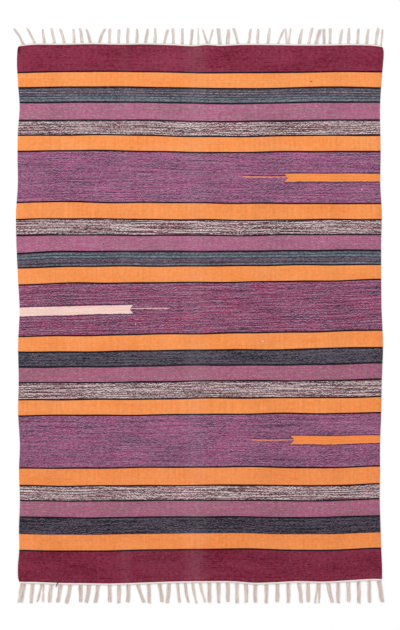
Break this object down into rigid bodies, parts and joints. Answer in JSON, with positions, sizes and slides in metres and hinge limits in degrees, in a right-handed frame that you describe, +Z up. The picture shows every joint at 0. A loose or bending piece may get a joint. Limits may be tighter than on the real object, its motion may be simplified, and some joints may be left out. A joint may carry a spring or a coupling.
{
  "type": "kilim rug",
  "caption": "Flat-woven kilim rug: a thin banded rectangular floor cloth with a short tassel fringe at both ends.",
  "frame": {"origin": "centre of the rug's underside, where it lies on the floor", "axes": "+X across the rug, +Y along its length towards the far end, +Z up"},
  "size_m": [1.2306, 1.9044, 0.0044],
  "materials": {
    "kilim_weave": "matte weft-faced cotton weave in bands of burgundy, orange, mauve, slate, charcoal, mottled grey and streaked purple",
    "undyed_yarn": "matte undyed cotton yarn"
  },
  "bodies": {
    "root": {"cloth": "kilim_weave", "fringe_far_end": "undyed_yarn", "fringe_near_end": "undyed_yarn"}
  },
  "joints": []
}
